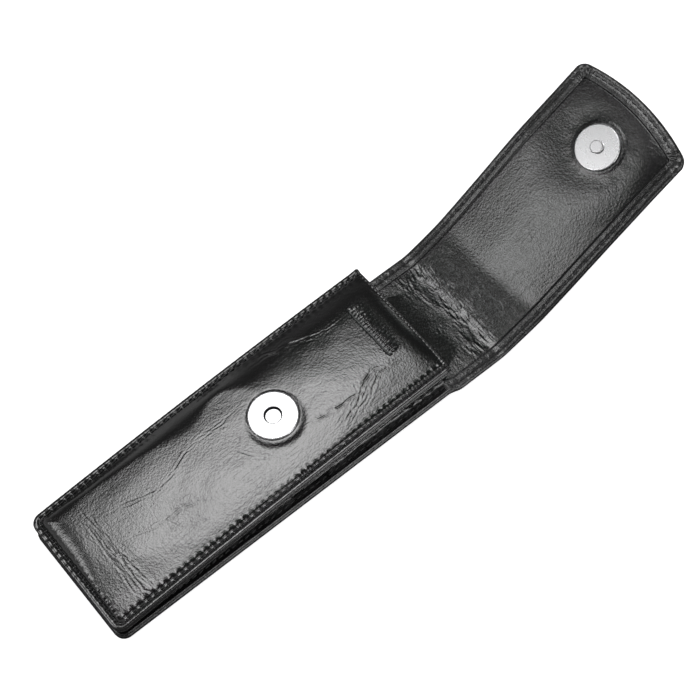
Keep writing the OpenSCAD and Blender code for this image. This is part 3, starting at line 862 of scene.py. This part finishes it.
def flap_lining(material):
    """Lining of the flap and of the spine's far half, set into the hem."""
    edge = 0.3
    inset = hem_w + hem_gap + edge
    rows = steps([spine_middle, 112, bend_p + flap_l - inset], [100, 230])
    columns = steps([-1, 1], [136])
    x, p = flap_grid(inset, rows, columns)
    top = on_run(x, p, lining_relief(x, p) - lining_sunk)
    under = on_run(x, p, -lining_sunk - lining_t + 0 * x)
    out = flap_out(top)
    obj = plate("flap_lining_leather", top, under, stacked(x, p), edge, out, cut=("first",), rings=3)
    return finish_piece(obj, material, "lining_leather", None, "flap_lining", "spine_lining")


# ---- Stitches ----


def add_stitch(verts, faces, centre, along, up, length, rng):
    """One stitch of two-ply thread that dips into its hole at each end."""
    sides, parts = 10, 10
    yaw = math.radians(7) + rng.normal(0, 0.05)
    across = np.cross(up, along)
    along = along * math.cos(yaw) + across * math.sin(yaw)
    across = np.cross(up, along)
    base = len(verts)
    for i in range(parts + 1):
        t = 2 * i / parts - 1
        drop = -0.55 * abs(t) ** 3 + rng.normal(0, 0.004)
        middle = centre + along * (t * length / 2) + up * drop
        slope = -1.65 * t * abs(t) / (length / 2)
        normal = up - along * slope
        normal = normal / np.linalg.norm(normal)
        for k in range(sides):
            a = 2 * math.pi * k / sides
            ply = 1 + 0.16 * math.cos(2 * a - t * length * 3.4)
            r = thread_r * ply * (1 - 0.25 * t**6)
            verts.append(middle + (across * math.cos(a) + normal * math.sin(a)) * r)
    faces += tube_faces(parts + 1, sides, base)
    faces.append([base + k for k in range(sides)])
    faces.append([base + parts * sides + k for k in reversed(range(sides))])


def stitches(name, rows, material, body, node, seed):
    """A row of stitches, each given by its centre, its direction and the way out of the leather."""
    rng = np.random.default_rng(seed)
    verts, faces = [], []
    for centre, along, up in rows:
        add_stitch(verts, faces, np.array(centre), np.array(along), np.array(up), stitch_pitch * 0.78, rng)
    return finish_piece(make_mesh(name, verts, faces), material, "thread", body, node)


def centres(start, end, pitch=stitch_pitch):
    """Middles of the stitches that fill a seam."""
    n = round(abs(end - start) / pitch)
    return [start + (k + 0.5) * (end - start) / n for k in range(n)]


def seam_places():
    """Centres (x, y) and directions of the stitches down both sides and across the bottom."""
    top = mouth - 0.6
    low = top - (body_l - seam_inset - corner_r)
    places = []
    for side in (-1, 1):
        places += [(side * (half_w - seam_inset), y, (0.0, 1.0)) for y in centres(top, low)]
    reach = half_w - corner_r
    return places + [(x, -mouth + seam_inset, (1.0, 0.0)) for x in centres(-reach, reach)]


def front_rows():
    """Stitches of the front's seam, which follow its rise."""
    rows = []
    for x, y, (ax, ay) in seam_places():
        slope = (front_z(y + 0.5) - front_z(y - 0.5)) * ay
        along = np.array([ax, ay, slope])
        along /= np.linalg.norm(along)
        rows.append(((x, y, front_z(y) - thread_sunk), along, (0, 0, 1)))
    return rows


def back_rows():
    """Stitches on the gusset's lower flange, and the same ones seen from under the back."""
    rows = []
    for x, y, (ax, ay) in seam_places():
        rows.append(((x, y, stack_t + gusset_t + 0.18), (ax, ay, 0), (0, 0, 1)))
        rows.append(((x, y, 0.27), (ax, ay, 0), (0, 0, -1)))
    return rows


def ridge_rows():
    """Stitches of the short bar seam."""
    y = ridge_y - 1.7
    return [((x, y, front_z(y) - thread_sunk), (1, 0, 0), (0, 0, 1)) for x in centres(*ridge_x, ridge_pitch)]


def hem_row_places():
    """Places (x, p, direction) of the hem's stitches from the mouth round the flap's tip."""
    inset = hem_w / 2
    last = tip_p(flap_half - 4.0) - inset - 1.0
    places = []
    for side in (-1, 1):
        places += [(side * (run_half_width(p) - inset), p, (0.0, 1.0)) for p in centres(mouth + 2, last)]
    r = tip_r - inset
    reach = math.asin((flap_half - 4.5) / r)
    for a in centres(-reach, reach, stitch_pitch / r):
        x = r * math.sin(a)
        places.append((x, tip_c + r * math.cos(a) - tip_skew * x, (math.cos(a), -math.sin(a))))
    return places


def hem_rows(from_p, to_p):
    """The hem's stitches between two places along the leather, on both of its faces."""
    rows = []
    for x, p, (ax, ap) in hem_row_places():
        if not from_p <= p < to_p:
            continue
        across, along, up = run_frame(x, p)
        place = run_point(x, p)
        direction = across * ax + along * ap
        rows.append((place, direction, up))
        rows.append((place - up * (float(run_thickness(p)) - 0.22), direction, -up))
    return rows


# ---- Materials ----


def new_material(name):
    """A material with its node tree and its shader."""
    material = bpy.data.materials.new(name)
    material.use_nodes = True
    tree = material.node_tree
    return material, tree, tree.nodes["Principled BSDF"]


def wire(node, **values):
    """Sets a node's attributes and sockets: a socket to a value, an output or a node's first output."""
    for key, value in values.items():
        if hasattr(node, key):
            setattr(node, key, value)
            continue
        socket = node.inputs[key.replace("_", " ")]
        if isinstance(value, bpy.types.Node):
            value = value.outputs[0]
        if isinstance(value, bpy.types.NodeSocket):
            node.id_data.links.new(value, socket)
        else:
            socket.default_value = value
    return node


def add(tree, kind, **values):
    """A new shader node."""
    return wire(tree.nodes.new("ShaderNode" + kind), **values)


def between(tree, share, dark, light):
    """Colour between dark and light."""
    return add(tree, "MixRGB", Fac=share, Color1=(*dark, 1), Color2=(*light, 1))


def object_noise(tree, scale, detail):
    """Noise in the object's own coordinates, in metres."""
    return add(tree, "TexNoise", Vector=add(tree, "TexCoord").outputs["Object"], Scale=scale, Detail=detail)


LEATHER_COLOR = (0.0035, 0.0035, 0.0036)
LEATHER_LIFT = 0.003  # how much lighter the leather's palest patches are


def leather(name, roughness, grain, coat):
    """Black leather: pebbled grain, pores and hairline creases in the leather's own coordinates."""
    material, tree, shader = new_material(name)
    at = add(tree, "Mapping", Vector=add(tree, "UVMap", uv_map="leather"), Scale=[1 / MM] * 3)
    warp = add(tree, "TexNoise", Vector=at, Scale=0.35, Detail=3.0).outputs["Color"]
    bent = add(tree, "MixRGB", blend_type="LINEAR_LIGHT", Fac=0.35, Color1=at, Color2=warp)
    pebble = add(tree, "TexVoronoi", feature="SMOOTH_F1", Vector=bent, Scale=1.35, Smoothness=0.35)
    fine = add(tree, "TexNoise", Vector=at, Scale=1.9, Detail=3.0, Roughness=0.65)
    soft = add(tree, "TexNoise", Vector=at, Scale=0.12, Detail=3.0)
    # Hairline creases, 1 in their middle, and only in patches
    along = add(tree, "Mapping", Vector=bent, Scale=(1.3, 0.3, 1.0))
    lines = add(tree, "TexVoronoi", feature="DISTANCE_TO_EDGE", Vector=along, Scale=0.42)
    creases = add(tree, "MapRange", Value=lines, From_Max=0.07, To_Min=1.0, To_Max=0.0)
    patches = add(tree, "TexNoise", Vector=at, Scale=0.07, Detail=2.0)
    creased = add(tree, "MapRange", Value=patches, From_Min=0.42, From_Max=0.62, To_Max=creases)
    relief = add(tree, "Bump", Height=pebble, Strength=0.2 * grain, Distance=0.00015)
    relief = add(tree, "Bump", Height=fine, Strength=0.18 * grain, Distance=0.00018, Normal=relief)
    relief = add(tree, "Bump", Height=creased, Strength=0.14, Distance=0.0001, Normal=relief, invert=True)
    dark, light = [c * 0.7 for c in LEATHER_COLOR], [c + LEATHER_LIFT for c in LEATHER_COLOR]
    uneven = add(tree, "MapRange", Value=fine, To_Min=roughness - 0.04, To_Max=roughness + 0.1)
    wire(shader, Base_Color=between(tree, soft, dark, light), Normal=relief, Coat_Normal=relief)
    wire(shader, Roughness=uneven, Specular_IOR_Level=1.0, Coat_Weight=coat, Coat_Roughness=0.12)
    return material


def thread(name):
    """Waxed black thread."""
    material, tree, shader = new_material(name)
    fibres = object_noise(tree, 4200.0, 3.0)
    color = between(tree, fibres, (0.012, 0.012, 0.013), (0.04, 0.04, 0.042))
    relief = add(tree, "Bump", Height=fibres, Strength=0.5, Distance=0.00008)
    wire(shader, Base_Color=color, Normal=relief, Roughness=0.55, Sheen_Weight=0.15)
    return material


def metal(name, color, roughness, grit):
    """Metal with a fine grit and a slightly uneven polish."""
    material, tree, shader = new_material(name)
    smudge = object_noise(tree, 260.0, 4.0)
    relief = add(tree, "Bump", Height=object_noise(tree, 3000.0, 3.0), Strength=0.12 * grit, Distance=0.00004)
    uneven = add(tree, "MapRange", Value=smudge, To_Min=roughness - 0.02, To_Max=roughness + 0.04)
    tint = between(tree, smudge, [c * 0.93 for c in color], color)
    wire(shader, Base_Color=tint, Normal=relief, Roughness=uneven, Metallic=1.0)
    return material


def dull(name, dark, light, scale):
    """Matte material with a mottled colour: fibre board, or a magnet's ferrite."""
    material, tree, shader = new_material(name)
    mottle = object_noise(tree, scale, 5.0)
    relief = add(tree, "Bump", Height=mottle, Strength=0.4, Distance=0.0001)
    wire(shader, Base_Color=between(tree, mottle, dark, light), Normal=relief, Roughness=0.8)
    return material


# ---- Camera, light and floor ----

CAMERA_AZIMUTH = math.radians(53.95)
CAMERA_ELEVATION = math.radians(62.89)
CAMERA_ROLL = math.radians(-3.5)
CAMERA_PLACE = Vector((0.2312, -0.1201, 0.5845))
CAMERA_LENS = 93.55


def turned(side, top, back, place):
    """Matrix of a camera or lamp at a place, from its directions to the right, up and backwards."""
    matrix = Matrix((side, top, back)).transposed().to_4x4()
    matrix.translation = place
    return matrix


def add_camera():
    az, el, roll = CAMERA_AZIMUTH, CAMERA_ELEVATION, CAMERA_ROLL
    back = Vector((math.sin(az) * math.cos(el), -math.cos(az) * math.cos(el), math.sin(el)))
    level = Vector((0, 0, 1)).cross(back).normalized()
    up = back.cross(level)
    right = level * math.cos(roll) + up * math.sin(roll)
    top = up * math.cos(roll) - level * math.sin(roll)
    data = bpy.data.cameras.new("camera")
    data.lens = CAMERA_LENS
    data.sensor_width = 36
    data.clip_start = 0.01
    camera = bpy.data.objects.new("camera", data)
    camera.matrix_world = turned(right, top, back, CAMERA_PLACE)
    show(camera)
    bpy.context.scene.camera = camera


WALL_LIGHT = 0.45  # radiance of the room's walls, low down
CEILING_LIGHT = 0.04  # and of its ceiling between the lamps
SOFT_STEPS = 6
STEP_BACK = 2 * MM
FLOOR_HALF = 3.0
FLOOR_Z = -0.2 * MM


def area_light(name, target, direction, outer, inner, radiance, distance=1.0):
    """Soft light in the given direction from the target (mm), whose first side is level along X.

    It is made of lamps that lie close behind each other, so that it is full over its inner size and fades out
    towards its outer size. Sizes are as seen from a metre away.
    """
    back = Vector(direction).normalized()
    top = back.cross(Vector((1, 0, 0))).normalized()
    side = top.cross(back)
    for k in range(SOFT_STEPS):
        place = Vector(target) * MM + back * (distance + STEP_BACK * k)
        share = (k + 0.5) / SOFT_STEPS
        data = bpy.data.lights.new(f"{name}_{k}", "AREA")
        data.shape = "RECTANGLE"
        data.size, data.size_y = (distance * (a + (b - a) * share) for a, b in zip(inner, outer))
        data.energy = radiance / SOFT_STEPS * math.pi * data.size * data.size_y
        lamp = bpy.data.objects.new(f"{name}_{k}", data)
        lamp.matrix_world = turned(side, top, back, place)
        lamp.visible_camera = False
        show(lamp)


def add_studio():
    world = bpy.data.worlds.new("studio")
    world.use_nodes = True
    tree = world.node_tree
    split = add(tree, "SeparateXYZ", Vector=add(tree, "TexCoord").outputs["Generated"])
    ramp = add(tree, "ValToRGB", Fac=split.outputs["Z"])
    marks = [(0.0, 0.03), (0.05, WALL_LIGHT), (0.3, WALL_LIGHT), (0.7, CEILING_LIGHT)]
    stops = ramp.color_ramp.elements
    while len(stops) < len(marks):
        stops.new(1.0)
    for stop, (height, level) in zip(stops, marks):
        stop.position = height
        stop.color = (level, level, level, 1)
    wire(tree.nodes["Background"], Color=ramp)
    bpy.context.scene.world = world
    area_light("top_box", (0, -10, 17), (-0.22, 0.055, 0.97), (0.52, 0.56), (0.1, 0.24), 5.9, 2.0)
    area_light("low_box", (0, 138, 24), (-0.26, -0.68, 0.68), (0.28, 0.52), (0.05, 0.14), 5.3)
    area_light("back_box", (0, 75, 15), (-0.4, 0.82, 0.42), (0.5, 0.2), (0.2, 0.1), 1.5)
    area_light("side_box", (20, 0, 10), (0.62, 0.2, 0.75), (0.36, 0.6), (0.14, 0.4), 3.0)
    area_light("side_low", (20, 20, 10), (0.95, 0.27, 0.2), (0.5, 0.3), (0.3, 0.15), 5.0)
    mesh = bpy.data.meshes.new("floor")
    corners = [(-1, -1), (1, -1), (1, 1), (-1, 1)]
    mesh.from_pydata([(x * FLOOR_HALF, y * FLOOR_HALF, FLOOR_Z) for x, y in corners], [], [(0, 1, 2, 3)])
    floor = bpy.data.objects.new("floor", mesh)
    material, tree, shader = new_material("floor_white")
    wire(shader, Base_Color=(0.93, 0.93, 0.93, 1), Roughness=0.9)
    wire(shader, Emission_Color=(1, 1, 1, 1), Emission_Strength=0.85)
    mesh.materials.append(material)
    show(floor)
    floor.visible_glossy = False
    bpy.context.scene.view_settings.view_transform = "Standard"
    bpy.context.scene.view_settings.look = "None"


def build():
    outer = leather("outer_leather_black", 0.18, 1.0, 0.4)
    hem = leather("outer_leather_hem", 0.25, 1.8, 0.2)
    lining = leather("lining_leather_black", 0.2, 1.3, 0.3)
    black_thread = thread("thread_black")
    nickel = metal("nickel_satin", (0.8, 0.8, 0.81), 0.26, 0.4)
    steel = metal("zinc_steel", (0.55, 0.55, 0.56), 0.4, 2.0)
    # Near-black steel: painted shade for the gap round the socket's post, used on the socket's base and the
    # ring at its hole
    gap_shade_steel = metal("steel_painted_gap_shade", (0.09, 0.09, 0.095), 0.45, 2.0)
    board = dull("fibre_board", (0.22, 0.18, 0.14), (0.36, 0.3, 0.24), 900.0)
    ferrite = dull("ferrite", (0.02, 0.02, 0.022), (0.06, 0.06, 0.065), 1500.0)

    front_panel(outer)
    turned_edge = wall_layer("front_turned_edge", 0.12, rim_t + 0.02, turned_t, edge=0.45)
    finish_piece(turned_edge, outer, "outer_leather", "case", "front_panel")
    front_lining = wall_layer("front_lining_leather", 0.3, turned_t + 0.03, stack_t)
    finish_piece(front_lining, lining, "lining_leather", "case", "front_lining")
    gusset(outer)
    divider(lining)
    # a dark ring at the socket's hole: painted shade
    socket_hole_shade_ring(gap_shade_steel)
    near_fold = [back_leather(hem), back_lining(lining)]
    far_fold = [flap_leather(hem), flap_lining(lining)]
    flap_board(board)

    stitches("front_thread", front_rows(), black_thread, "case", "front_stitching", 1)
    stitches("back_thread", back_rows(), black_thread, "case", "back_stitching", 2)
    stitches("bar_thread", ridge_rows(), black_thread, "case", "divider_stitching", 3)
    near_hem, far_hem = hem_rows(0, spine_middle), hem_rows(spine_middle, math.inf)
    near_fold.append(stitches("spine_thread", near_hem, black_thread, None, "spine_stitching", 4))
    far_fold.append(stitches("flap_thread", far_hem, black_thread, None, "flap_stitching", 5))
    for piece in near_fold:
        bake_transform(piece)
    for piece in far_fold:
        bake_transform(piece)

    looks = {
        nickel: ["socket_cover", "socket_post", "stud_plate", "stud_post"],
        steel: ["socket_washer", "stud_legs", "stud_washer"],
        # the socket's base is darkened as painted shade in the gap round the post
        gap_shade_steel: ["socket_base"],
        board: ["back_stiffener", "front_stiffener"],
        ferrite: ["socket_magnet"],
    }
    for material, names in looks.items():
        for node in names:
            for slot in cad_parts[node].material_slots:
                slot.material = material


add_camera()
add_studio()
build()
